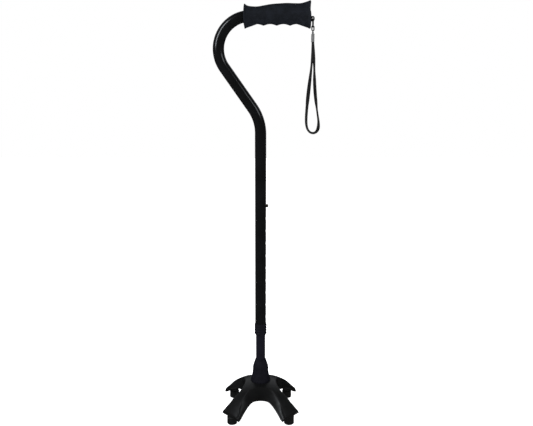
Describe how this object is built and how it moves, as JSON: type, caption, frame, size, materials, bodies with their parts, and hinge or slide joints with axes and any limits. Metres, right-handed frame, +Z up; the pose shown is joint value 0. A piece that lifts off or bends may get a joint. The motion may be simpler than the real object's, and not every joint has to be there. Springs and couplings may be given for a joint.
{
  "type": "quad walking cane",
  "caption": "Height-adjustable walking cane with an offset neck, a moulded finger grip with a wrist strap, a snap-button tube lock and a domed four-footed base.",
  "frame": {"origin": "on the floor, under the middle of the cane's outline without the strap; the tube's axis is at X = -5.75 mm", "axes": "+Z up along the tube, +X towards the tip of the handle, +Y across"},
  "size_m": [0.204, 0.1578, 0.8218],
  "materials": {
    "gloss_tube": "high gloss black enamel",
    "satin_tube": "satin black anodised",
    "grip_rubber": "matte moulded",
    "boot_rubber": "satin moulded",
    "foot_rubber": "matte moulded",
    "black_plastic": "moulded",
    "collar_plastic": "satin moulded",
    "base_plastic": "semi-gloss moulded",
    "nylon": "natural nylon",
    "ring_steel": "nickel plated",
    "crimp_metal": "dull plated",
    "button_metal": "dull plated brass",
    "spring_steel": "blued",
    "zinc_steel": "zinc plated",
    "strap_ribbon": "woven ribbon"
  },
  "bodies": {
    "lower_cane": {"inner_tube": "satin_tube", "tube_bush": "nylon", "button_spring": "spring_steel", "boot": "boot_rubber", "quad_base": "base_plastic", "tube_insert": "zinc_steel", "hub_bolt": "zinc_steel", "hub_washer": "zinc_steel", "foot_front_left": "foot_rubber", "foot_front_right": "foot_rubber", "foot_rear_left": "foot_rubber", "foot_rear_right": "foot_rubber", "foot_studs": "zinc_steel", "foot_washers": "zinc_steel"},
    "button": {"snap_button": "button_metal"},
    "upper_cane": {"upper_tube": "gloss_tube", "hand_grip": "grip_rubber", "grip_end_plug": "black_plastic", "split_bush": "nylon"},
    "collar": {"locking_collar": "collar_plastic"},
    "ring": {"split_ring": "ring_steel"},
    "eye": {"swivel_eye": "ring_steel"},
    "strap": {"strap_crimp": "crimp_metal", "wrist_strap": "strap_ribbon"}
  },
  "joints": [
    {"name": "height_adjust", "type": "slide", "parent": "lower_cane", "child": "upper_cane", "axis": [0, 0, 1], "range_m": [0, 0.2286], "deforming": ["snap_button", "button_spring"]},
    {"name": "button_press", "type": "slide", "parent": "lower_cane", "child": "button", "axis": [-1, 0, 0], "range_m": [0, 0.0063], "stiffness_N_per_m": 900, "springref_m": -0.004, "deforming": ["button_spring"]},
    {"name": "collar_turn", "type": "hinge", "parent": "upper_cane", "child": "collar", "pos_m": [-0.00575, 0, 0.174], "axis": [0, 0, 1], "range_deg": [0, 180]},
    {"name": "ring_swing", "type": "hinge", "parent": "upper_cane", "child": "ring", "pos_m": [0.09365, 0, 0.7883], "axis": [0, -1, 0], "range_deg": [-2, 80]},
    {"name": "eye_swing", "type": "hinge", "parent": "ring", "child": "eye", "pos_m": [0.09365, 0, 0.7724], "axis": [0, -1, 0], "range_deg": [-8, 60]},
    {"name": "strap_swivel", "type": "hinge", "parent": "eye", "child": "strap", "pos_m": [0.09365, 0, 0.757], "axis": [0, 0, 1], "continuous": true}
  ]
}
